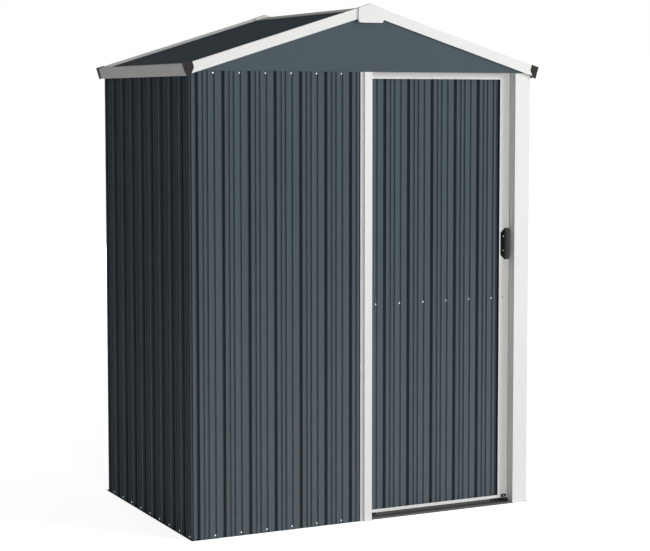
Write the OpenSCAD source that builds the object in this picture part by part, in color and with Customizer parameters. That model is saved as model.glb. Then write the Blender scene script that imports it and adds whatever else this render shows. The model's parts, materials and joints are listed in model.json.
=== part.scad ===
// Metal storage shed with ribbed sheet walls, a low gable roof and a sliding door.
// Millimetres. The origin is on the ground under the middle of the shed.
// +X runs to the right along the door front, the door front faces -Y, +Z is up.

/* [Walls] */
// Width across the wall sheets
wall_w = 1356; // [1300:2:1600]
// Depth across the wall sheets
wall_d = 892; // [700:2:1200]
// Height from the ground to the lower edge of the gable sheets
wall_h = 1620; // [1400:5:1900]
// Thickness of the wall, gable and door sheets
sheet_t = 0.6; // [0.4:0.1:1]
// How far the wall sheets reach up behind the gable sheets
gable_lap = 12; // [6:1:15]
// Length of the flanges folded at the corners of the front and rear sheets
corner_flange = 8; // [4:1:9]

/* [Ribs] */
// Distance from one deep groove to the next
rib_pitch = 98; // [92:1:130]
// Width of a deep groove at its mouth
groove_w = 14; // [8:0.5:16]
// Depth of a deep groove
groove_d = 18; // [5:0.5:20]
// Width of one sloping side of a deep groove
groove_run = 2; // [1:0.25:3]
// Height of the raised ribs
rib_h = 5; // [1:0.5:6]
// Width of one sloping side of a raised rib
rib_run = 1; // [0.5:0.25:2.5]
// Width of the middle rib
wide_rib_w = 18; // [12:0.5:22]
// Width of each side rib
narrow_rib_w = 9.5; // [7:0.5:11]
// Flat strip between two neighbouring ribs
rib_gap = 7.6; // [5:0.2:9]
// Margin without ribs along the edges of a sheet
edge_flat = 10; // [10:1:14]
// First groove of the front sheet, from the left corner
front_first = 17.7; // [16.5:0.1:40]
// First groove of a side sheet, from its left edge seen from outside
side_first = 21.8; // [16.5:0.1:90]
// First groove of the door sheet, from its left edge
door_first = 107; // [16.5:0.5:110]

/* [Ground frame] */
// Thickness of the rails and of the sill plate
rail_t = 1; // [0.8:0.1:1.5]
// Height of the base rails
base_h = 40; // [25:1:60]
// How far the base rails reach out beyond the walls
base_lip = 7.6; // [6:0.2:12]
// Depth of the sill, from the wall plane inwards
sill_d = 75; // [68:1:95]
// Height of the sill's front edge in the doorway
sill_edge_h = 8; // [4:0.5:10]
// Height of the sill lip that guides the door
guide_lip_h = 11.5; // [10:0.5:12]

/* [Doorway] */
// Left edge of the jamb flange, from the left corner
jamb_x = 643; // [600:1:700]
// Width of the screwed jamb flange
jamb_flange_w = 12; // [10:0.5:20]
// Width of the raised jamb face
jamb_face_w = 30; // [20:1:45]
// How far the jamb face stands proud of the wall
jamb_proud = 16; // [8:0.5:18]
// How far the jamb reaches back behind the wall plane
jamb_back = 30; // [20:1:34]
// Width of the corner post's face
post_w = 62; // [45:1:100]
// How far the corner post reaches back beside the doorway
post_back = 35; // [25:1:35]
// Width of the corner post's leg along the side wall
post_side = 30; // [20:1:40]

/* [Door] */
// Distance of the door's face behind the wall plane
door_back = 40; // [40:0.5:44]
// How far the closed door reaches behind the jamb
door_lap_left = 25; // [15:1:35]
// How far the closed door reaches behind the corner post
door_lap_right = 11; // [6:1:16]
// Gap between the ground and the door
door_gap = 15.6; // [14:0.1:18]
// Gap between the door and its track
track_gap = 5; // [5:0.5:8]
// Height of the door's top rail
door_top_rail_h = 24; // [16:1:40]
// Height of the door's bottom rail
door_bottom_rail_h = 11; // [8:0.5:30]
// Width of the door's left stile
stile_left_w = 48; // [30:1:60]
// Width of the door's right stile
stile_right_w = 52.5; // [45:0.5:60]
// Height of the brace behind the door sheet, at its middle
brace_z = 780; // [500:5:880]
// Width of the brace
brace_h = 30; // [20:1:50]
// Depth of the brace
brace_d = 10; // [6:1:12]

/* [Door handle] */
// Lower end of the handle
handle_z = 924; // [850:1:1100]
// Height of the handle
handle_h = 118; // [90:1:160]
// Width of the handle
handle_w = 30; // [24:0.5:31]
// Distance from the handle to the right edge of the door
handle_edge = 13; // [13:0.5:14]
// Thickness of the handle plate
handle_t = 3; // [2:0.5:5]
// Width of the raised grip
grip_w = 15; // [10:0.5:18]
// How far the grip stands out from the door
grip_out = 20; // [12:1:25]
// Size of the handle's cut corners
handle_cut = 13; // [6:1:14]

/* [Door running gear] */
// Height of the track's lower edge above the gable sheet's lower edge
track_lift = 6; // [5:0.5:8]
// Height of the track
track_h = 12; // [11:0.5:14]
// Width of the track
track_w = 22; // [20:0.5:26]
// Width of the slot in the track
track_slot = 9; // [7:0.5:10]
// Length of a hanger and of a guide
runner_l = 60; // [40:1:80]
// Distance from the door's edge to the middle of a runner
runner_inset = 45; // [42:1:80]
// Thickness of the hanger foot
hanger_foot_h = 3; // [2:0.5:3.5]
// Thickness of the hanger stem
hanger_stem_w = 5; // [4:0.5:5.5]
// Width of the hanger head that runs in the track
hanger_head_w = 16; // [14:0.5:17]
// Height of the hanger head
hanger_head_h = 8; // [6:0.5:8]
// Running clearance of hangers and guides
run_clear = 0.3; // [0.2:0.1:0.6]
// Thickness of the guide's two legs
guide_leg_t = 3; // [2:0.5:4]

/* [Roof] */
// Slope of the roof
roof_angle = 17.2; // [12:0.2:22]
// Height of the roof's underside above the gable sheet's lower edge, at the wall
eave_lift = 19; // [18:0.5:40]
// How far the roof reaches out beyond the side walls
eave_out = 27; // [20:0.5:50]
// How far the roof reaches out beyond the gable walls
gable_out = 13; // [12:0.5:40]
// Thickness of the roof sheets
roof_t = 0.8; // [0.5:0.1:1.2]
// Play of the roof sheets between the frame and the trims, and of the peak caps on the trims
roof_play = 0.1; // [0.05:0.05:0.2]
// Thickness of the trims and of the ridge cap
trim_t = 0.8; // [0.6:0.1:1.2]
// Height of a gable trim, square to the slope
trim_h = 36.7; // [30:0.5:50]
// Height of an eave trim, square to the slope
eave_trim_h = 41; // [36:0.5:50]
// Height of the trims above the roof sheets
trim_lip = 9.5; // [6:0.5:14]
// Width of the trims on top
trim_top_w = 14; // [10:0.5:18]
// Width of each wing of the ridge cap
ridge_wing = 45; // [25:1:60]
// Width of the ridge beam
beam_w = 40; // [30:1:60]
// Height of the ridge beam's sides
beam_h = 30; // [20:1:50]
// Height of the top rails
top_rail_h = 45; // [35:1:60]
// Width of the top rails' upper legs
top_rail_w = 30; // [20:1:40]

/* [Roof caps] */
// Thickness of the corner caps
cap_t = 2; // [1.5:0.5:4]
// Width of a corner cap on the gable trim
cap_w = 28; // [24:0.5:50]
// Width of a corner cap on the eave trim
cap_side_w = 22; // [18:0.5:50]
// Height of a corner cap's full-width part
cap_full_h = 20; // [10:0.5:30]
// Height of a corner cap
cap_drop = 42; // [41:0.5:55]
// Width of a corner cap's lower tip
cap_tip = 9; // [4:0.5:16]
// Half the width of a peak cap
peak_half_w = 49.5; // [40:0.5:70]
// Thickness of a peak cap's hood over the trims
hood_t = 1; // [0.8:0.1:2]
// Height from the trims' peak to the lower edge of a peak cap
peak_drop = 66; // [58:0.5:90]
// How far a peak cap stands proud of the trims
peak_out = 7; // [5:0.5:12]
// Corner radius of a peak cap
peak_r = 8; // [3:0.5:14]

/* [Hidden] */

// Colours
anthracite = [0.29, 0.33, 0.36];
white = [0.93, 0.93, 0.92];
zinc = [0.62, 0.64, 0.65];
dark_grey = [0.24, 0.24, 0.25];
black = [0.08, 0.08, 0.09];

// Wall planes
x_left = -wall_w / 2;
x_right = wall_w / 2;
y_front = -wall_d / 2;
y_rear = wall_d / 2;
sheet_depth = groove_d + sheet_t;
x_inner = wall_w / 2 - sheet_depth;
y_inner = wall_d / 2 - sheet_depth;
wall_top = wall_h + gable_lap;

// Doorway and door, from the left corner and from the wall plane inwards
jamb_step_x = jamb_x + jamb_flange_w;
doorway_x = jamb_step_x + jamb_face_w;
post_x = wall_w - post_w;
door_x0 = doorway_x - door_lap_left;
door_x1 = post_x + door_lap_right;
door_thick = 2 * rail_t + rib_h + sheet_depth;
door_inner = door_back + door_thick;
door_mid_y = y_front + door_back + door_thick / 2;
track_z = wall_h + track_lift;
door_top = track_z - track_gap;
door_plane = door_back + rail_t + rib_h;

// Roof lines: the underside of the roof sheets, their upper side, and the top of the trims
roof_rise = tan(roof_angle);
ridge_z = wall_h + eave_lift + roof_rise * wall_w / 2;
roof_t_up = roof_t / cos(roof_angle);
trim_t_up = trim_t / cos(roof_angle);
hood_t_up = hood_t / cos(roof_angle);
trim_h_up = trim_h / cos(roof_angle);
trim_lip_up = trim_lip / cos(roof_angle);
roof_play_up = roof_play / cos(roof_angle);
x_eave = wall_w / 2 + eave_out;
y_gable = wall_d / 2 + gable_out;
trim_inner_y = y_gable - trim_top_w;
function under_z(x) = ridge_z - roof_rise * abs(x);
function roof_z(x) = under_z(x) + roof_t_up;
function trim_z(x) = roof_z(x) + trim_lip_up;

// The right eave: directions down the slope and square to it, and the outer top edge of the trims
slope_dir = [cos(roof_angle), -sin(roof_angle)];
square_dir = [sin(roof_angle), cos(roof_angle)];
eave_edge = [x_eave, trim_z(x_eave)];

// Bent sheets: an outer line in the plane, with the outside on its left, and the same line
// moved inwards by the thickness with mitred corners
function left_normal(a, b) = [a[1] - b[1], b[0] - a[0]] / norm(b - a);
function mitred(line, i, t) =
    let (last = len(line) - 1)
    let (before = left_normal(line[max(i - 1, 0)], line[max(i, 1)]))
    let (after = left_normal(line[min(i, last - 1)], line[min(i + 1, last)]))
    line[i] - t * (before + after) / (1 + before * after);
function bent_outline(line, t) = concat(line, [for (i = [len(line) - 1 : -1 : 0]) mitred(line, i, t)]);

// One groove or rib as four points: along the sheet, and out from its plane
function formed(middle, width, run, height) = [
    [middle - width / 2, 0],
    [middle - width / 2 + run, height],
    [middle + width / 2 - run, height],
    [middle + width / 2, 0]
];
side_rib = wide_rib_w / 2 + rib_gap + narrow_rib_w / 2;
pitch_forms = [
    formed(0, groove_w, groove_run, -groove_d),
    formed(rib_pitch / 2 - side_rib, narrow_rib_w, rib_run, rib_h),
    formed(rib_pitch / 2, wide_rib_w, rib_run, rib_h),
    formed(rib_pitch / 2 + side_rib, narrow_rib_w, rib_run, rib_h)
];
function fits(form, start, length) = start + form[0][0] > edge_flat && start + form[3][0] < length - edge_flat;
function forms_line(length, first) = [
    for (k = [-1 : ceil(length / rib_pitch)])
        for (form = pitch_forms)
            if (fits(form, first + k * rib_pitch, length))
                for (p = form) [first + k * rib_pitch + p[0], p[1]]
];
function ribbed_line(length, first) = concat([[0, 0]], forms_line(length, first), [[length, 0]]);
function centred_first(length) = (length - floor((length - 2 * edge_flat - groove_w) / rib_pitch) * rib_pitch) / 2;

// A plan profile: along the wall and out from it, raised to a height
module plan_sheet(line, t, height) {
    linear_extrude(height)
        polygon([for (p = bent_outline(line, t)) [p[0], -p[1]]]);
}

// An outline across the shed, carried from y0 to y1
module along_y(points, y0, y1) {
    translate([0, y1, 0])
        rotate([90, 0, 0])
            linear_extrude(y1 - y0)
                polygon(points);
}

// An outline in depth and height, carried from x0 to x1
module along_x(points, x0, x1) {
    translate([x0, 0, 0])
        rotate([90, 0, 90])
            linear_extrude(x1 - x0)
                polygon(points);
}

module box(low, high) {
    translate(low)
        cube(high - low);
}

module mirrored_x(on) {
    mirror([on ? 1 : 0, 0, 0])
        children();
}

module mirrored_y(on) {
    mirror([0, on ? 1 : 0, 0])
        children();
}

// Ground frame
module side_base_rail() {
    color(anthracite) {
        box([x_inner - rail_t, y_front, 0], [x_right + base_lip, y_rear + base_lip, rail_t]);
        box([x_inner - rail_t, -y_inner + rail_t, 0], [x_inner, y_inner - rail_t, base_h]);
    }
}

module base_rail_left() {
    mirrored_x(true)
        side_base_rail();
}

module base_rail_right() {
    side_base_rail();
}

module base_rail_rear() {
    color(anthracite) {
        box([-x_inner + rail_t, y_inner - rail_t, 0], [x_inner - rail_t, y_rear + base_lip, rail_t]);
        box([-x_inner, y_inner - rail_t, rail_t], [x_inner, y_inner, base_h]);
    }
}

module base_rail_front() {
    end_x = x_left + doorway_x - rail_t;
    color(anthracite) {
        box([-x_inner + rail_t, y_front, 0], [end_x, -y_inner + rail_t, rail_t]);
        box([-x_inner, -y_inner, rail_t], [end_x, -y_inner + rail_t, base_h]);
    }
}

module door_sill() {
    track_x = x_inner - rail_t;
    doorway_left = x_left + doorway_x;
    doorway_right = x_left + post_x;
    color(dark_grey) {
        box([-track_x, -y_inner + rail_t, 0], [track_x, y_front + sill_d, rail_t]);
        box([doorway_left - rail_t, y_front, 0], [track_x, -y_inner + rail_t, rail_t]);
        box([doorway_left, y_front, 0], [doorway_right, y_front + rail_t, sill_edge_h]);
        box([-track_x, door_mid_y - rail_t / 2, 0], [track_x, door_mid_y + rail_t / 2, guide_lip_h]);
    }
}

// Wall sheets
module side_sheet(length) {
    plan_sheet(ribbed_line(length, side_first), sheet_t, wall_top - rail_t);
}

module left_wall() {
    color(anthracite)
        translate([x_left, y_rear, rail_t])
            rotate(-90)
                side_sheet(wall_d);
}

module right_wall() {
    color(anthracite)
        translate([x_right, y_front + post_side, rail_t])
            rotate(90)
                side_sheet(wall_d - post_side);
}

module rear_wall() {
    length = wall_w - 2 * sheet_t;
    color(anthracite)
        translate([length / 2, y_rear, rail_t])
            rotate(180) {
                plan_sheet(ribbed_line(length, centred_first(length)), sheet_t, wall_top - rail_t);
                box([0, 0, 0], [sheet_t, corner_flange, wall_top - rail_t]);
                box([length - sheet_t, 0, 0], [length, corner_flange, wall_top - rail_t]);
            }
}

module front_wall() {
    length = doorway_x - rail_t - sheet_t;
    color(anthracite)
        translate([x_left + sheet_t, y_front, rail_t]) {
            plan_sheet(ribbed_line(length, front_first - sheet_t), sheet_t, wall_top - rail_t);
            box([0, 0, 0], [sheet_t, corner_flange, wall_top - rail_t]);
        }
}

// Doorway
module door_jamb() {
    flange_out = rib_h + rail_t;
    line = [
        [jamb_x, flange_out],
        [jamb_step_x, flange_out],
        [jamb_step_x, jamb_proud],
        [doorway_x, jamb_proud],
        [doorway_x, -jamb_back]
    ];
    color(white)
        translate([x_left, y_front, rail_t])
            plan_sheet(line, rail_t, wall_h - rail_t);
}

module corner_post() {
    line = [[post_x, -post_back], [post_x, 0], [wall_w, 0], [wall_w, -post_side]];
    color(white)
        translate([x_left, y_front, rail_t])
            plan_sheet(line, rail_t, wall_top - rail_t);
}

// Frame at the top of the walls
module side_top_rail() {
    low = under_z(x_inner) - top_rail_h;
    line = [
        [x_inner - top_rail_w, under_z(x_inner - top_rail_w)],
        [x_inner, under_z(x_inner)],
        [x_inner, low]
    ];
    color(zinc)
        along_y(bent_outline(line, rail_t), -y_inner, y_inner - rail_t);
}

module top_rail_left() {
    mirrored_x(true)
        side_top_rail();
}

module top_rail_right() {
    side_top_rail();
}

module top_rail_rear() {
    line = [
        [y_inner - top_rail_w, wall_top],
        [y_inner, wall_top],
        [y_inner, wall_top - top_rail_h]
    ];
    end_x = x_inner - rail_t;
    color(zinc)
        along_x(bent_outline(line, rail_t), -end_x, end_x);
}

module door_track() {
    line = [
        [-track_slot / 2, 0],
        [-track_w / 2, 0],
        [-track_w / 2, track_h],
        [track_w / 2, track_h],
        [track_w / 2, 0],
        [track_slot / 2, 0]
    ];
    end_x = x_inner - rail_t;
    color(zinc)
        translate([0, door_mid_y, track_z])
            along_x(bent_outline(line, rail_t), -end_x, end_x);
}

// Gables and roof
module gable_sheet() {
    points = [
        [x_left, wall_h],
        [x_right, wall_h],
        [x_right, under_z(x_right)],
        [0, under_z(0)],
        [x_left, under_z(x_left)]
    ];
    color(anthracite)
        along_y(points, y_front - rib_h - sheet_t, y_front - rib_h);
}

module front_gable() {
    gable_sheet();
}

module rear_gable() {
    mirrored_y(true)
        gable_sheet();
}

module ridge_beam() {
    half = beam_w / 2;
    line = [
        [-half, under_z(half) - beam_h],
        [-half, under_z(half)],
        [0, under_z(0)],
        [half, under_z(half)],
        [half, under_z(half) - beam_h]
    ];
    color(zinc)
        along_y(bent_outline(line, rail_t), y_front - rib_h, y_rear + rib_h);
}

module roof_sheet() {
    edge = eave_edge - (trim_t + roof_play) * slope_dir - trim_lip * square_dir;
    points = [
        [0, under_z(0) + roof_play_up],
        edge - (roof_t - roof_play) * square_dir,
        edge - roof_play * square_dir,
        [0, roof_z(0) - roof_play_up]
    ];
    color(anthracite)
        along_y(points, -y_gable + trim_t, y_gable - trim_t);
}

module roof_left() {
    mirrored_x(true)
        roof_sheet();
}

module roof_right() {
    roof_sheet();
}

module ridge_cap() {
    wing_x = ridge_wing * cos(roof_angle);
    line = [
        [-wing_x, roof_z(wing_x) + trim_t_up],
        [0, roof_z(0) + trim_t_up],
        [wing_x, roof_z(wing_x) + trim_t_up]
    ];
    color(white)
        along_y(bent_outline(line, trim_t), -trim_inner_y, trim_inner_y);
}

module eave_trim() {
    inner_top = eave_edge - trim_top_w * slope_dir;
    line = [
        inner_top - trim_lip * square_dir,
        inner_top,
        eave_edge,
        eave_edge - eave_trim_h * square_dir
    ];
    color(white)
        along_y(bent_outline(line, trim_t), -trim_inner_y, trim_inner_y);
}

module eave_trim_left() {
    mirrored_x(true)
        eave_trim();
}

module eave_trim_right() {
    eave_trim();
}

// A gable trim on the front right: face, top and the lip that stands on the roof sheet
module gable_trim() {
    foot = eave_edge - trim_h * square_dir;
    face = [[0, trim_z(0)], eave_edge, foot, [0, trim_z(0) - trim_h_up]];
    top_end = eave_edge - trim_t * square_dir;
    top = [[0, trim_z(0)], eave_edge, top_end, [0, trim_z(0) - trim_t_up]];
    lip_end = eave_edge - trim_lip * square_dir;
    lip = [[0, trim_z(0)], eave_edge, lip_end, [0, roof_z(0)]];
    color(white) {
        along_y(face, -y_gable, -y_gable + trim_t);
        along_y(top, -y_gable, -trim_inner_y);
        along_y(lip, -trim_inner_y - trim_t, -trim_inner_y);
    }
}

module gable_trim_front_right() {
    gable_trim();
}

module gable_trim_front_left() {
    mirrored_x(true)
        gable_trim();
}

module gable_trim_rear_right() {
    mirrored_y(true)
        gable_trim();
}

module gable_trim_rear_left() {
    mirrored_y(true)
        mirrored_x(true)
            gable_trim();
}

// A corner cap on the front right: a shield on each face, joined by a top plate
function cap_shield(width) = [
    [cap_t, cap_t],
    [-width, cap_t],
    [-width, -cap_full_h],
    [-cap_tip, -cap_drop],
    [cap_t, -cap_drop]
];

module corner_cap() {
    side = [for (p = cap_shield(cap_side_w)) [-p[0], p[1]]];
    top = [
        [cap_t, -cap_t],
        [cap_t, cap_side_w],
        [-cap_w / 2, cap_side_w],
        [-cap_w, cap_side_w / 2],
        [-cap_w, -cap_t]
    ];
    color(dark_grey)
        translate([eave_edge[0], -y_gable, eave_edge[1]])
            rotate([0, roof_angle, 0]) {
                along_y(cap_shield(cap_w), -cap_t, 0);
                along_x(side, 0, cap_t);
                linear_extrude(cap_t)
                    polygon(top);
            }
}

module corner_cap_front_right() {
    corner_cap();
}

module corner_cap_front_left() {
    mirrored_x(true)
        corner_cap();
}

module corner_cap_rear_right() {
    mirrored_y(true)
        corner_cap();
}

module corner_cap_rear_left() {
    mirrored_y(true)
        mirrored_x(true)
            corner_cap();
}

// A peak cap: a plate with round lower corners and a hood over both trims
peak_arc_steps = 6;
function peak_corner(side) = [
    for (i = [0 : peak_arc_steps])
        let (turn = side > 0 ? 270 + 90 * i / peak_arc_steps : 180 + 90 * i / peak_arc_steps)
        [
            side * (peak_half_w - peak_r) + peak_r * cos(turn),
            trim_z(0) - peak_drop + peak_r + peak_r * sin(turn)
        ]
];

module peak_cap() {
    hood_gap = trim_z(peak_half_w) + roof_play_up;
    shoulder = trim_z(peak_half_w) + hood_t_up;
    crown = trim_z(0) + hood_t_up;
    plate = concat(
        peak_corner(-1),
        peak_corner(1),
        [[peak_half_w, shoulder], [0, crown], [-peak_half_w, shoulder]]
    );
    hood = [
        [-peak_half_w, hood_gap],
        [-peak_half_w, shoulder],
        [0, crown],
        [peak_half_w, shoulder],
        [peak_half_w, hood_gap],
        [0, trim_z(0) + roof_play_up]
    ];
    color(white) {
        along_y(plate, -y_gable - peak_out, -y_gable);
        along_y(hood, -y_gable, -trim_inner_y);
    }
}

module peak_cap_front() {
    peak_cap();
}

module peak_cap_rear() {
    mirrored_y(true)
        peak_cap();
}

// Sliding door. Its sheet has one more groove that ends under the right stile
function door_line(length) =
    let (seam = length + rail_t - stile_right_w)
    concat(
        [[0, 0]],
        forms_line(seam - groove_w + edge_flat, door_first),
        [
            [seam - groove_w, 0],
            [seam - groove_w + groove_run, -groove_d],
            [seam + edge_flat, -groove_d],
            [seam + edge_flat + groove_run, 0],
            [length, 0]
        ]
    );

module door_sheet() {
    length = door_x1 - door_x0 - 2 * rail_t;
    color(anthracite)
        translate([x_left + door_x0 + rail_t, y_front + door_plane, door_gap + rail_t])
            plan_sheet(door_line(length), sheet_t, door_top - door_gap - 2 * rail_t);
}

module door_stile_left() {
    line = [
        [stile_left_w, -door_thick],
        [0, -door_thick],
        [0, 0],
        [stile_left_w, 0]
    ];
    color(white)
        translate([x_left + door_x0, y_front + door_back, door_gap])
            plan_sheet(line, rail_t, door_top - door_gap);
}

module door_stile_right() {
    line = [
        [-stile_right_w, 0],
        [0, 0],
        [0, -door_thick],
        [-stile_right_w, -door_thick]
    ];
    color(white)
        translate([x_left + door_x1, y_front + door_back, door_gap])
            plan_sheet(line, rail_t, door_top - door_gap);
}

rail_x0 = x_left + door_x0 + stile_left_w;
rail_x1 = x_left + door_x1 - stile_right_w;
face_y = y_front + door_back;
back_y = y_front + door_inner;

module door_top_rail() {
    low = door_top - door_top_rail_h;
    line = [[face_y, low], [face_y, door_top], [back_y, door_top], [back_y, low]];
    color(white)
        along_x(bent_outline(line, rail_t), rail_x0, rail_x1);
}

module door_bottom_rail() {
    high = door_gap + door_bottom_rail_h;
    line = [[back_y, high], [back_y, door_gap], [face_y, door_gap], [face_y, high]];
    color(white)
        along_x(bent_outline(line, rail_t), rail_x0, rail_x1);
}

module door_brace() {
    front = back_y - rail_t;
    low = brace_z - brace_h / 2;
    high = brace_z + brace_h / 2;
    line = [[front + brace_d, low], [front, low], [front, high], [front + brace_d, high]];
    color(zinc)
        along_x(bent_outline(line, rail_t), rail_x0, rail_x1);
}

// The handle: a plate with two cut corners and a raised grip along its right side
module door_handle() {
    outline = [
        [0, handle_cut],
        [handle_cut, 0],
        [handle_w, 0],
        [handle_w, handle_h],
        [handle_cut, handle_h],
        [0, handle_h - handle_cut]
    ];
    grip_x = handle_w - grip_w;
    grip = [
        [grip_x, 0],
        [grip_x + handle_t, handle_t],
        [grip_x + handle_t, grip_out - handle_t],
        [grip_x + 2 * handle_t, grip_out],
        [handle_w - handle_t, grip_out],
        [handle_w, grip_out - handle_t],
        [handle_w, 0]
    ];
    color(black)
        translate([x_left + door_x1 - handle_edge - handle_w, face_y, handle_z]) {
            along_y(outline, -handle_t, 0);
            intersection() {
                along_y(outline, -grip_out, 0);
                linear_extrude(handle_h)
                    polygon([for (p = grip) [p[0], -p[1]]]);
            }
        }
}

runner_mids = [x_left + door_x0 + runner_inset, x_left + door_x1 - runner_inset];

module door_hangers() {
    foot = door_thick / 2;
    foot_z = door_top + hanger_foot_h;
    stem = hanger_stem_w / 2;
    head = hanger_head_w / 2;
    head_z = track_z + rail_t + run_clear;
    points = [
        [-foot, door_top],
        [foot, door_top],
        [foot, foot_z],
        [stem, foot_z],
        [stem, head_z],
        [head, head_z],
        [head, head_z + hanger_head_h],
        [-head, head_z + hanger_head_h],
        [-head, head_z],
        [-stem, head_z],
        [-stem, foot_z],
        [-foot, foot_z]
    ];
    color(black)
        for (mid = runner_mids)
            translate([0, door_mid_y, 0])
                along_x(points, mid - runner_l / 2, mid + runner_l / 2);
}

module door_guides() {
    slot = rail_t / 2 + run_clear;
    side = slot + guide_leg_t;
    low = rail_t + guide_leg_t;
    roof = guide_lip_h + 2 * run_clear;
    points = [
        [-side, low],
        [-slot, low],
        [-slot, roof],
        [slot, roof],
        [slot, low],
        [side, low],
        [side, door_gap],
        [-side, door_gap]
    ];
    color(black)
        for (mid = runner_mids)
            translate([0, door_mid_y, 0])
                along_x(points, mid - runner_l / 2, mid + runner_l / 2);
}

base_rail_left();
base_rail_right();
base_rail_rear();
base_rail_front();
door_sill();
left_wall();
right_wall();
rear_wall();
front_wall();
door_jamb();
corner_post();
top_rail_left();
top_rail_right();
top_rail_rear();
door_track();
front_gable();
rear_gable();
ridge_beam();
roof_left();
roof_right();
ridge_cap();
eave_trim_left();
eave_trim_right();
gable_trim_front_left();
gable_trim_front_right();
gable_trim_rear_left();
gable_trim_rear_right();
corner_cap_front_left();
corner_cap_front_right();
corner_cap_rear_left();
corner_cap_rear_right();
peak_cap_front();
peak_cap_rear();
door_sheet();
door_stile_left();
door_stile_right();
door_top_rail();
door_bottom_rail();
door_brace();
door_handle();
door_hangers();
door_guides();
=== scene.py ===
# %% [markdown]
# # A small metal storage shed
# The shed is a box of ribbed sheet with a low gable roof, white folded trims and one door
# that slides behind the front sheet. Its solids come ready made from the CAD model, so this
# lesson only dresses them: paint, zinc and plastic on the solids, and the small hardware that
# holds the sheets together. We load the solids first.

# %% Load the solids
import json
import math

import bpy
import numpy as np
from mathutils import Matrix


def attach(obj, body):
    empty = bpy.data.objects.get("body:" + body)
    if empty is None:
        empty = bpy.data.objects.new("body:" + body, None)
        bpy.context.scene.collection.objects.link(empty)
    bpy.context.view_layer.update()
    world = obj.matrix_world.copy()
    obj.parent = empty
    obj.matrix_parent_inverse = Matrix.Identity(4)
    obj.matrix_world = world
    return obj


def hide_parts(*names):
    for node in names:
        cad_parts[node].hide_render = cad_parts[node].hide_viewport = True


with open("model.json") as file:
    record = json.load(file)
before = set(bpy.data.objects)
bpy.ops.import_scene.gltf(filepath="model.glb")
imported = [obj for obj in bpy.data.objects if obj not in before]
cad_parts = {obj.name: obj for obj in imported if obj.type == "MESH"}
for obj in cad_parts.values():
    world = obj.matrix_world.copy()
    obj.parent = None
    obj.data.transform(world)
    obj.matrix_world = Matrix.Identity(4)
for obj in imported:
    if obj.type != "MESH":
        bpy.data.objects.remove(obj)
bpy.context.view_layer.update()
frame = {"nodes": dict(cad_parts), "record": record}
solids = frame["nodes"]
print("solids:", len(solids))

# %% [markdown]
# ## The viewpoint
# The photograph was taken from the left front, a little below the eaves, with a long lens.
# A camera could be aimed with a constraint, but plain numbers are easier to compare with a
# measured view: where it stands, which way it looks and how long its lens is. The small
# shift lifts the shed in the frame without tilting the lens any further.

# %% Camera
CAMERA_PLACE = (-2.896, -6.003, 1.517)
CAMERA_YAW = 26.53
CAMERA_PITCH = -4.417
CAMERA_LENS = 97.12
CAMERA_SHIFT = (-0.02, -0.06)

lens = bpy.data.cameras.new("viewpoint")
lens.lens = CAMERA_LENS
lens.shift_x, lens.shift_y = CAMERA_SHIFT
viewpoint = bpy.data.objects.new("viewpoint", lens)
viewpoint.location = CAMERA_PLACE
viewpoint.rotation_euler = (math.radians(90 + CAMERA_PITCH), 0, math.radians(-CAMERA_YAW))
bpy.context.scene.collection.objects.link(viewpoint)
bpy.context.scene.camera = viewpoint
bpy.context.scene.view_settings.view_transform = "Standard"
print("camera at", CAMERA_PLACE, "lens", CAMERA_LENS, "mm")

# %% [markdown]
# ## The studio
# A catalogue picture has a white background and broad soft light. The white comes from Light
# Path: rays from the camera, and rays mirrored or passed on, see white, while the light that
# falls on the shed from all sides stays low. The floor glows a little as well, as a lit white
# floor would, and so it lifts the lower part of the walls. Far off it glows more, which hides
# the horizon, and near the shed less, which keeps the shed's shadow.

# %% World and floor
AMBIENT = 0.09
FLOOR_TONE = (0.8, 0.8, 0.8, 1)
FLOOR_GLOW_NEAR, FLOOR_GLOW_FAR = 0.83, 0.95
GLOW_STARTS, GLOW_ENDS = 2.0, 9.0
FLOOR_BOUNCE = 0.04
FLOOR_HALF = 30.0


def seen_directly(tree):
    """The larger of Is Camera Ray, Is Glossy Ray and Is Transmission Ray, as one socket."""
    path = tree.nodes.new("ShaderNodeLightPath")
    first = tree.nodes.new("ShaderNodeMath")
    first.operation = "MAXIMUM"
    tree.links.new(path.outputs["Is Camera Ray"], first.inputs[0])
    tree.links.new(path.outputs["Is Glossy Ray"], first.inputs[1])
    both = tree.nodes.new("ShaderNodeMath")
    both.operation = "MAXIMUM"
    tree.links.new(first.outputs[0], both.inputs[0])
    tree.links.new(path.outputs["Is Transmission Ray"], both.inputs[1])
    return both.outputs[0]


world = bpy.data.worlds.new("white_room")
bpy.context.scene.world = world
world.use_nodes = True
sky = world.node_tree
sky_level = sky.nodes.new("ShaderNodeMapRange")
sky_level.inputs["To Min"].default_value = AMBIENT
sky.links.new(seen_directly(sky), sky_level.inputs["Value"])
sky.nodes["Background"].inputs["Color"].default_value = (1, 1, 1, 1)
sky.links.new(sky_level.outputs["Result"], sky.nodes["Background"].inputs["Strength"])

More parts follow.
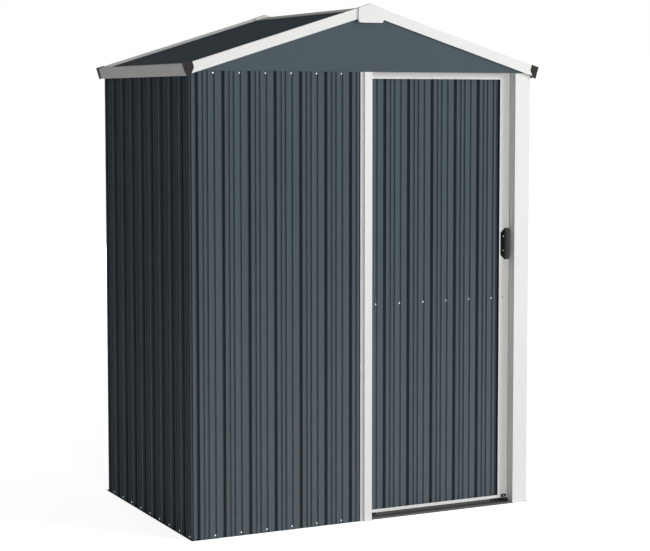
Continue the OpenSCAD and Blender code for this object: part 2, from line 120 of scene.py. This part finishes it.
floor_finish = bpy.data.materials.new("floor_white")
floor_finish.use_nodes = True
tree = floor_finish.node_tree
floor_shader = tree.nodes["Principled BSDF"]
floor_shader.inputs["Base Color"].default_value = FLOOR_TONE
floor_shader.inputs["Roughness"].default_value = 1.0
floor_shader.inputs["Specular IOR Level"].default_value = 0.0
floor_shader.inputs["Emission Color"].default_value = (1, 1, 1, 1)
glow = tree.nodes.new("ShaderNodeMapRange")
glow.inputs["To Min"].default_value = FLOOR_BOUNCE
spot = tree.nodes.new("ShaderNodeTexCoord")
distance = tree.nodes.new("ShaderNodeVectorMath")
distance.operation = "LENGTH"
tree.links.new(spot.outputs["Object"], distance.inputs[0])
reach = tree.nodes.new("ShaderNodeMapRange")
reach.inputs["From Min"].default_value = GLOW_STARTS
reach.inputs["From Max"].default_value = GLOW_ENDS
reach.inputs["To Min"].default_value = FLOOR_GLOW_NEAR
reach.inputs["To Max"].default_value = FLOOR_GLOW_FAR
tree.links.new(distance.outputs["Value"], reach.inputs["Value"])
tree.links.new(reach.outputs["Result"], glow.inputs["To Max"])
tree.links.new(seen_directly(tree), glow.inputs["Value"])
tree.links.new(glow.outputs["Result"], floor_shader.inputs["Emission Strength"])

floor_mesh = bpy.data.meshes.new("floor")
h = FLOOR_HALF
floor_mesh.from_pydata([(-h, -h, 0), (h, -h, 0), (h, h, 0), (-h, h, 0)], [], [(0, 1, 2, 3)])
floor_mesh.materials.append(floor_finish)
floor = bpy.data.objects.new("floor", floor_mesh)
bpy.context.scene.collection.objects.link(floor)
print("floor of", 2 * FLOOR_HALF, "m, ambient level", AMBIENT)

# %% [markdown]
# ## The lamps
# One broad lamp stands in front, to the right and above, so the door in its recess darkens
# softly towards the post and the gable. A smaller lamp at the left front only grazes the left
# wall: its ribs catch a thin light while the flats stay dark. A lamp behind keeps the far sides
# readable, and a weak one above lifts the roof. Area lamps are the plain choice, because their
# size sets how soft the shadows are.

# %% Lamps
SHED_MIDDLE = np.array([0.0, 0.0, 0.8])
LAMP_AWAY = 12.0


def studio_lamp(name, azimuth, elevation, size, level):
    """A round lamp aimed at the shed: azimuth 0 stands in front and 90 to the right, in degrees.
    A disc of power P at distance r lights a white face to P / (pi^2 r^2), so P follows from
    the level."""
    turn, lift = math.radians(azimuth), math.radians(elevation)
    flat = math.cos(lift)
    towards = np.array([math.sin(turn) * flat, -math.cos(turn) * flat, math.sin(lift)])
    data = bpy.data.lights.new(name, "AREA")
    data.shape = "DISK"
    data.size = size
    data.energy = level * math.pi**2 * LAMP_AWAY**2
    lamp = bpy.data.objects.new(name, data)
    lamp.location = SHED_MIDDLE + LAMP_AWAY * towards
    lamp.rotation_euler = (math.pi / 2 - lift, 0, turn)
    lamp.visible_camera = False
    bpy.context.scene.collection.objects.link(lamp)
    print("lamp", name, "at", [round(float(x), 2) for x in lamp.location], round(data.energy), "W")


studio_lamp("front_lamp", 43, 18, 5.0, 0.57)
studio_lamp("side_lamp", -10, 2, 2.4, 0.34)
studio_lamp("rear_lamp", 180, 2, 5.0, 0.60)
studio_lamp("top_lamp", 0, 85, 6.0, 0.03)

# %% [markdown]
# ## Shared effects
# Real coated sheet is never one flat colour. Three effects turn up on nearly every piece, so
# each is a node group that the materials share: the fine grain of a sprayed or moulded skin,
# the broad cloudiness of a rolled sheet, and a trace of dust near the ground.

# %% Node helpers
def socket(tree, name, way, kind="NodeSocketFloat", value=None):
    """Adds a named input or output to a node group."""
    made = tree.interface.new_socket(name=name, in_out=way, socket_type=kind)
    if value is not None:
        made.default_value = value
    return made


def add(tree, kind, **inputs):
    """Adds a shader node; keyword arguments with _ for spaces set its input values."""
    node = tree.nodes.new(kind)
    for name, value in inputs.items():
        node.inputs[name.replace("_", " ")].default_value = value
    return node


def join(tree, output, node, name):
    """Links an output to a node's input, given by its name or number."""
    tree.links.new(output, node.inputs[name])


def new_group(name):
    """Starts a node group and returns it with its input and output nodes."""
    tree = bpy.data.node_groups.new(name, "ShaderNodeTree")
    return tree, tree.nodes.new("NodeGroupInput"), tree.nodes.new("NodeGroupOutput")


# %% [markdown]
# The first group is the grain of the skin, finer than a millimetre. It gives a height for the
# bump and a small shift of the roughness, so that gloss and relief agree.

# %% Group: skin grain
grain_group, ins, outs = new_group("skin_grain")
socket(grain_group, "Scale", "INPUT", value=900.0)
socket(grain_group, "Height", "OUTPUT")
socket(grain_group, "Roughness Shift", "OUTPUT")
where = add(grain_group, "ShaderNodeTexCoord")
fine = add(grain_group, "ShaderNodeTexNoise", Detail=2.0, Roughness=0.55)
join(grain_group, where.outputs["Object"], fine, "Vector")
join(grain_group, ins.outputs["Scale"], fine, "Scale")
shift = add(grain_group, "ShaderNodeMapRange", From_Min=0.3, From_Max=0.7)
shift.inputs["To Min"].default_value = -0.05
shift.inputs["To Max"].default_value = 0.05
join(grain_group, fine.outputs["Fac"], shift, "Value")
join(grain_group, fine.outputs["Fac"], outs, "Height")
join(grain_group, shift.outputs["Result"], outs, "Roughness Shift")
print("group", grain_group.name, "with", len(grain_group.nodes), "nodes")

# %% [markdown]
# The second group clouds the colour. Sheet is coated lengthwise on a roller, so the noise is
# stretched along the height: its scale is small upwards and large across.

# %% Group: sheet cloud
cloud_group, ins, outs = new_group("sheet_cloud")
socket(cloud_group, "Strength", "INPUT", value=0.05)
socket(cloud_group, "Shade", "OUTPUT")
where = add(cloud_group, "ShaderNodeTexCoord")
stretch = add(cloud_group, "ShaderNodeMapping", Scale=(9.0, 9.0, 1.6))
cloud = add(cloud_group, "ShaderNodeTexNoise", Scale=1.0, Detail=3.0, Roughness=0.6)
join(cloud_group, where.outputs["Object"], stretch, "Vector")
join(cloud_group, stretch.outputs["Vector"], cloud, "Vector")
centred = add(cloud_group, "ShaderNodeMath")
centred.operation = "SUBTRACT"
centred.inputs[1].default_value = 0.5
join(cloud_group, cloud.outputs["Fac"], centred, 0)
shade = add(cloud_group, "ShaderNodeMath")
shade.operation = "MULTIPLY_ADD"
shade.inputs[2].default_value = 1.0
cloud_group.links.new(centred.outputs[0], shade.inputs[0])
cloud_group.links.new(ins.outputs["Strength"], shade.inputs[1])
join(cloud_group, shade.outputs[0], outs, "Shade")
print("group", cloud_group.name, "with", len(cloud_group.nodes), "nodes")

# %% [markdown]
# The third group is dust, which rain throws up from the ground. A smooth fade over the height
# is broken up by fine noise.

# %% Group: ground dust
dust_group, ins, outs = new_group("ground_dust")
socket(dust_group, "Reach", "INPUT", value=1.3)
socket(dust_group, "Strength", "INPUT", value=0.1)
socket(dust_group, "Mask", "OUTPUT")
where = add(dust_group, "ShaderNodeTexCoord")
split = add(dust_group, "ShaderNodeSeparateXYZ")
join(dust_group, where.outputs["Object"], split, "Vector")
fade = add(dust_group, "ShaderNodeMapRange", To_Min=1.0, To_Max=0.0)
fade.interpolation_type = "SMOOTHSTEP"
join(dust_group, split.outputs["Z"], fade, "Value")
join(dust_group, ins.outputs["Reach"], fade, "From Max")
specks = add(dust_group, "ShaderNodeTexNoise", Scale=55.0, Detail=5.0, Roughness=0.7)
join(dust_group, where.outputs["Object"], specks, "Vector")
patchy = add(dust_group, "ShaderNodeMath")
patchy.operation = "MULTIPLY"
dust_group.links.new(fade.outputs["Result"], patchy.inputs[0])
dust_group.links.new(specks.outputs["Fac"], patchy.inputs[1])
scaled = add(dust_group, "ShaderNodeMath")
scaled.operation = "MULTIPLY"
dust_group.links.new(patchy.outputs[0], scaled.inputs[0])
dust_group.links.new(ins.outputs["Strength"], scaled.inputs[1])
join(dust_group, scaled.outputs[0], outs, "Mask")
print("group", dust_group.name, "with", len(dust_group.nodes), "nodes")

# %% [markdown]
# ## The finishes
# The sheets and trims carry a satin coating, so they take one recipe with different colours:
# the colour is clouded a little, dusted near the ground, and its gloss and bump follow the
# grain. The same recipe with a finer grain gives moulded plastic.

# %% Coated and moulded finishes
DUST = (0.30, 0.31, 0.32, 1)
MOULD = {"grain": 1600.0, "bump": 0.0003}


def linear(*srgb):
    """Turns 0 to 255 display values into the linear colour that shaders take."""
    c = np.array(srgb) / 255.0
    flat = np.where(c <= 0.04045, c / 12.92, ((c + 0.055) / 1.055) ** 2.4)
    return (*map(float, flat), 1.0)


def place_group(tree, group, **inputs):
    """Puts a node group into a material and sets its inputs."""
    node = tree.nodes.new("ShaderNodeGroup")
    node.node_tree = group
    for name, value in inputs.items():
        node.inputs[name].default_value = value
    return node


def skin(name, colour, gloss, specular, grain=900.0, bump=0.0004, cloud=0.1, dust=0.2):
    """A clouded, dusted colour with grained gloss and bump: coated sheet or moulded plastic."""
    made = bpy.data.materials.new(name)
    made.use_nodes = True
    tree = made.node_tree
    shader = tree.nodes["Principled BSDF"]
    shader.inputs["Specular IOR Level"].default_value = specular
    shade = place_group(tree, cloud_group, Strength=cloud)
    tinted = add(tree, "ShaderNodeVectorMath")
    tinted.operation = "SCALE"
    tinted.inputs[0].default_value = colour[:3]
    join(tree, shade.outputs["Shade"], tinted, "Scale")
    mask = place_group(tree, dust_group, Strength=dust)
    dusted = add(tree, "ShaderNodeMix")
    dusted.data_type = "RGBA"
    tree.links.new(mask.outputs["Mask"], dusted.inputs["Factor"])
    tree.links.new(tinted.outputs["Vector"], dusted.inputs[6])
    dusted.inputs[7].default_value = DUST
    tree.links.new(dusted.outputs[2], shader.inputs["Base Color"])
    rough = add(tree, "ShaderNodeMath")
    rough.inputs[1].default_value = gloss
    fine = place_group(tree, grain_group, Scale=grain)
    tree.links.new(fine.outputs["Roughness Shift"], rough.inputs[0])
    tree.links.new(rough.outputs[0], shader.inputs["Roughness"])
    relief = add(tree, "ShaderNodeBump", Strength=0.35, Distance=bump)
    join(tree, fine.outputs["Height"], relief, "Height")
    tree.links.new(relief.outputs["Normal"], shader.inputs["Normal"])
    return made


finishes = {
    "anthracite_paint": skin("anthracite_paint", linear(79, 89, 96), 0.85, 0.01),
    "white_paint": skin("white_paint", linear(231, 231, 229), 0.6, 0.03, cloud=0.03, dust=0.06),
    "sill_paint": skin("sill_paint", linear(84, 83, 82), 0.55, 0.12),
    "dark_plastic": skin("dark_plastic", linear(56, 53, 52), 0.6, 0.03, **MOULD),
    "white_plastic": skin(
        "white_plastic", linear(230, 230, 228), 0.55, 0.06, grain=1600.0, cloud=0.03
    ),
    "black_plastic": skin("black_plastic", linear(14, 14, 15), 0.55, 0.03, **MOULD),
}
print("finishes:", ", ".join(finishes))

# %% [markdown]
# Bare galvanized steel is different: its zinc freezes into crystals, which a Voronoi pattern
# imitates. With this last finish every solid can be painted by the slot its record names.

# %% Galvanized steel
SPANGLE = 0.009


def spangled(name, pale, dull, size):
    """Zinc crystals: each Voronoi cell has its own grey between two tones and its own gloss."""
    made = bpy.data.materials.new(name)
    made.use_nodes = True
    tree = made.node_tree
    shader = tree.nodes["Principled BSDF"]
    shader.inputs["Metallic"].default_value = 1.0
    where = add(tree, "ShaderNodeTexCoord")
    cells = add(tree, "ShaderNodeTexVoronoi", Scale=1 / size)
    join(tree, where.outputs["Object"], cells, "Vector")
    tone = add(tree, "ShaderNodeSeparateColor")
    join(tree, cells.outputs["Color"], tone, "Color")
    colour = add(tree, "ShaderNodeMix")
    colour.data_type = "RGBA"
    colour.inputs[6].default_value = dull
    colour.inputs[7].default_value = pale
    tree.links.new(tone.outputs["Red"], colour.inputs["Factor"])
    tree.links.new(colour.outputs[2], shader.inputs["Base Color"])
    gloss = add(tree, "ShaderNodeMapRange", To_Min=0.3, To_Max=0.5)
    join(tree, tone.outputs["Green"], gloss, "Value")
    join(tree, gloss.outputs["Result"], shader, "Roughness")
    return made


pale_zinc, dull_zinc = linear(205, 208, 210), linear(170, 174, 177)
finishes["zinc_steel"] = spangled("zinc_steel", pale_zinc, dull_zinc, SPANGLE)

for part in frame["record"]["subparts"]:
    mesh = solids[part["node"]].data
    mesh.materials.clear()
    mesh.materials.append(finishes[part["material_slot"]])

# %% [markdown]
# ## Moulded edges
# The caps at the corners and the peak are moulded plastic, so their edges are round. The solids
# arrive as loose triangles: a Weld joins their corners first, and only then can a Bevel find the
# sharp edges and round them.

# %% Round the caps
WELD_REACH = 0.00002
PEAK_ROUND, CORNER_ROUND = 0.0018, 0.0009
SHARP_FROM = math.radians(35)


def rounded(node, width):
    """Welds a solid's triangles together and rounds its sharp edges to the given width."""
    weld = solids[node].modifiers.new("weld", "WELD")
    weld.merge_threshold = WELD_REACH
    bevel = solids[node].modifiers.new("bevel", "BEVEL")
    bevel.width = width
    bevel.segments = 3
    bevel.limit_method = "ANGLE"
    bevel.angle_limit = SHARP_FROM


caps = [node for node in solids if "_cap_" in node]
for node in caps:
    rounded(node, PEAK_ROUND if "peak" in node else CORNER_ROUND)
print("rounded", len(caps), "caps")

# %% [markdown]
# ## Surfaces from arrays
# The screws, rivets and the handle are made here as surfaces. Each is a grid of points that a
# formula places all at once: numpy works on whole arrays, so no loop visits a single corner.
# The faces follow from the grid: every point joins its neighbours along the row and above.

# %% Grids and pieces
MM = 0.001


def grid_faces(rows, columns, closed=False):
    """Each quad joins a point, the next in its row, and the two above; closed joins row ends."""
    r, c = np.meshgrid(np.arange(rows - 1), np.arange(columns - (not closed)), indexing="ij")
    n = (c + 1) % columns
    low, high = r * columns, (r + 1) * columns
    return np.stack([low + c, low + n, high + n, high + c], -1).reshape(-1, 4)


def put_in(name, points, faces, finish, body):
    """Makes a piece from points in millimetres, smooth up to 40 degrees, and hangs it on a body."""
    mesh = bpy.data.meshes.new(name)
    mesh.from_pydata((points * MM).tolist(), [], faces)
    mesh.materials.append(finishes[finish])
    mesh.shade_smooth()
    mesh.set_sharp_from_angle(angle=math.radians(40))
    piece = bpy.data.objects.new(name, mesh)
    bpy.context.scene.collection.objects.link(piece)
    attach(piece, body)
    print(name, len(points), "points", len(faces), "faces")
    return piece


screw_steel = skin("screw_steel", linear(190, 193, 197), 0.35, 0.5, grain=2600.0, dust=0.0)
screw_steel.node_tree.nodes["Principled BSDF"].inputs["Metallic"].default_value = 1.0
finishes["screw_steel"] = screw_steel
print("finish for small hardware:", screw_steel.name)

# %% [markdown]
# ## Screws and rivets
# Self-drilling screws hold the sheets to the rails, in the narrow valleys beside the wide ribs.
# A head is a profile of radius and height turned about its axis, eight steps round: at this size
# more would not show. The side walls have taller heads, which stand out above the ribs. One
# function makes the head once and copies it to a whole row of places.

# %% Turned heads
SCREW = [(3.6, 0), (3.6, 0.7), (2.9, 1.0), (2.7, 2.3), (1.8, 2.9)]
WASHER_SCREW = [(4.6, 0), (4.6, 0.8), (3.2, 1.1), (2.9, 2.6), (1.9, 3.2)]
RIVET = [(4.0, 0), (3.9, 0.5), (3.2, 1.2), (2.0, 1.8), (0.8, 2.0)]
TALL_SCREW = [(3.6, 0), (3.6, 0.8), (3.2, 1.1), (3.1, 6.2), (2.2, 7.0)]
SMALL = [(2.7, 0), (2.6, 0.8), (1.9, 1.5), (0.8, 1.8)]


def heads(
    name, profile, places, out, finish="screw_steel", body="root", steps=8
):
    """Turns the profile: across r cos a, up r sin a, out h. A copy stands at each place."""
    r, h = np.array(profile, float).T
    angle = np.linspace(0, 2 * math.pi, steps, endpoint=False)
    out = np.array(out, float)
    across = np.array([-out[1], out[0], 0.0])
    ring = np.cos(angle)[:, None] * across + np.sin(angle)[:, None] * np.array([0.0, 0.0, 1.0])
    head = (r[:, None, None] * ring + h[:, None, None] * out).reshape(-1, 3)
    points = (np.array(places, float)[:, None] + head).reshape(-1, 3)
    copy = np.arange(len(places))[:, None, None] * len(head)
    sides = (grid_faces(len(r), steps, closed=True) + copy).reshape(-1, 4)
    tops = np.arange(len(head) - steps, len(head)) + copy[:, 0]
    return put_in(name, points, sides.tolist() + tops.tolist(), finish, body)


profiles = (SCREW, WASHER_SCREW, RIVET, TALL_SCREW, SMALL)
print("head heights in mm:", [profile[-1][1] for profile in profiles])

# %% [markdown]
# The sheets repeat every 98 mm, and the screws repeat with them. The places are read off the
# photograph for the front and the left wall; the right and rear walls repeat the same rule.

# %% Screw rows of the walls
PITCH, VALLEY = 98.0, 61.8
FRONT_Y, REAR_Y, LEFT_X, REAR_END_X = -446.0, 446, -678.0, 677.4
FRONT_FIRST, SIDE_FIRST, REAR_FIRST = 17.7, 21.8, 40.4
POST_LAP = 30
FOOT_Z, FRONT_FOOT_Z, TOP_Z = 10.7, 11.5, 1613.5
FRONT, REAR, LEFT, RIGHT = (0, -1, 0), (0, 1, 0), (-1, 0, 0), (1, 0, 0)


def row(start, count, step=PITCH):
    """Evenly spaced values: the start plus 0, 1, 2 and so on times the step."""
    return start + step * np.arange(count)


def places(x, y, z):
    """Every combination of the given x, y and z values, as rows of a table."""
    return np.stack(np.meshgrid(x, y, z, indexing="ij"), -1).reshape(-1, 3)


front_x = row(LEFT_X + FRONT_FIRST + VALLEY, 6)
left_y = row(REAR_Y - SIDE_FIRST - VALLEY, 9, -PITCH)
right_y = row(FRONT_Y + POST_LAP + SIDE_FIRST + VALLEY, 8)
rear_x = row(REAR_END_X - REAR_FIRST - VALLEY, 13, -PITCH)
heads("front_screws", SCREW, places(front_x, FRONT_Y, [FRONT_FOOT_Z, TOP_Z]), FRONT)
heads("left_screws", TALL_SCREW, places(LEFT_X, left_y, FOOT_Z), LEFT)
heads("right_screws", TALL_SCREW, places(-LEFT_X, right_y, FOOT_Z), RIGHT)
heads("rear_screws", SCREW, places(rear_x, REAR_Y, [FOOT_Z, TOP_Z]), REAR)

# %% [markdown]
# The jamb's flange is held by four screws with washers. A row of rivets across the door shows
# where its brace runs behind the sheet, and dark rivets hold the stile and the rear trims.

# %% Doorway, door and trim fasteners
JAMB_X, JAMB_Y, JAMB_Z = -29, FRONT_Y - 6, [13, 573, 1135, 1608]
DOOR_FIRST_X, DOOR_Y, BRACE_Z = LEFT_X + 731.8, FRONT_Y + 46, 780
STILE_X, STILE_Y = 590, FRONT_Y + 40
HANDLE_SCREW_X, HANDLE_SCREW_Y, HANDLE_SCREW_Z = 590.4, FRONT_Y + 37, [958, 1011]
TRIM_X, TRIM_Y, TRIM_Z = [-48, 48], 444.2, 1839.9

door_x = row(DOOR_FIRST_X, 6)
handle_spots = places(HANDLE_SCREW_X, HANDLE_SCREW_Y, HANDLE_SCREW_Z)
heads("jamb_screws", WASHER_SCREW, places(JAMB_X, JAMB_Y, JAMB_Z), FRONT)
heads("door_rivets", RIVET, places(door_x, DOOR_Y, BRACE_Z), FRONT, body="door")
heads("stile_rivet", SMALL, places(STILE_X, STILE_Y, BRACE_Z), FRONT, "sill_paint", body="door")
heads("handle_screws", SMALL, handle_spots, FRONT, body="door")
heads("rear_trim_screws", SMALL, places(TRIM_X, TRIM_Y, TRIM_Z), FRONT, "sill_paint")

# %% [markdown]
# ## The handle
# The handle is a moulded plate with two cut corners and a convex grip along its right side. In
# the solids it is a plain block. Here the plate gets a rounded rim, deeper cuts and 4 mm more
# width, as in the photograph. The grip becomes a pillow, round across and long along the
# stile. Its dark grey is painted light: the grip is the same black plastic as the plate,
# coloured lighter as if lit.

# %% Handle
HANDLE_AT = np.array([580.0, -406.0, 924.0])
HANDLE_W, HANDLE_H, HANDLE_CUT = 34.0, 118.0, 17.0
PLATE_T, GRIP_LEFT, GRIP_OUT = 3.0, 16.0, 19.6
RIM_INSET, RIM_OUT = [0.0, 0.0, 0.4, 1.2], [0.0, 2.0, 2.7, PLATE_T]
# Painted light: the grip's grey is a lit copy of the black plate plastic, not its own colour.
finishes["painted_light_grip_plastic"] = skin("painted_light_grip_plastic", linear(88, 85, 85), 0.55, 0.05, **MOULD)


def handle_plate():
    """The outline carried outwards over a rim: full size at the door, drawn in by the inset
    towards its middle further out."""
    w, h, c = HANDLE_W, HANDLE_H, HANDLE_CUT
    outline = np.array([(0, c), (c, 0), (w, 0), (w, h), (c, h), (0, h - c)])
    middle = np.array([w / 2, h / 2])
    inset = np.array(RIM_INSET)[:, None, None]
    out = np.array(RIM_OUT)[:, None]
    flat = outline - inset * np.sign(outline - middle)
    rings, corners = flat.shape[:2]
    y = np.broadcast_to(-out, (rings, corners))
    points = np.stack([flat[..., 0], y, flat[..., 1]], -1).reshape(-1, 3)
    front = list(range((rings - 1) * corners, rings * corners))
    return points, grid_faces(rings, corners, closed=True).tolist() + [front]


def handle_grip(across=20, along=40):
    """Over s and t from -1 to 1 the grip stands out by (1 - s^2)^(1/2) (1 - t^10)^(1/2)."""
    lengthwise = -np.cos(np.linspace(0, math.pi, along))
    crosswise = -np.cos(np.linspace(0, math.pi, across))
    t, s = np.meshgrid(lengthwise, crosswise, indexing="ij")
    rise = np.sqrt(np.clip((1 - s**2) * (1 - t**10), 0, 1))
    x = GRIP_LEFT + (HANDLE_W - 0.3 - GRIP_LEFT) * (s + 1) / 2
    z = HANDLE_H / 2 + (HANDLE_H / 2 - 0.6) * t
    out = 2.4 + (GRIP_OUT - 2.6) * rise
    return np.stack([x, -out, z], -1).reshape(-1, 3), grid_faces(along, across)


plate, plate_faces = handle_plate()
black = "black_plastic"
handle = put_in("handle_plate", plate + HANDLE_AT, plate_faces, black, "door")
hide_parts("door_handle")
grip, grip_faces = handle_grip()
put_in("handle_grip", grip + HANDLE_AT, grip_faces.tolist(), "painted_light_grip_plastic", "door")

# %% [markdown]
# ## The stile foot
# At the lower end of the right stile a small black plate covers the guide's fixing. It is a
# rounded pad: one height formula over a rectangle, with a screw in its middle.

# %% Stile foot
FOOT_X, FOOT_HEIGHTS, FOOT_THICK = (588, 612), (17, 29), 2.5
FOOT_SCREW = (600, FRONT_Y + 37.6, 23)


def pad(x0, x1, z0, z1, y, thick, count=16):
    """Over s and t from -1 to 1 the pad stands out by thick (1 - s^8)^(1/2) (1 - t^8)^(1/2)."""
    line = -np.cos(np.linspace(0, math.pi, count))
    t, s = np.meshgrid(line, line, indexing="ij")
    out = thick * np.sqrt(np.clip((1 - s**8) * (1 - t**8), 0, 1))
    x, z = x0 + (x1 - x0) * (s + 1) / 2, z0 + (z1 - z0) * (t + 1) / 2
    return np.stack([x, y - out, z], -1).reshape(-1, 3), grid_faces(count, count).tolist()


foot, foot_faces = pad(*FOOT_X, *FOOT_HEIGHTS, STILE_Y, FOOT_THICK)
put_in("stile_foot", foot, foot_faces, black, "door")
heads("foot_screw", SMALL, places(*FOOT_SCREW), FRONT, body="door")
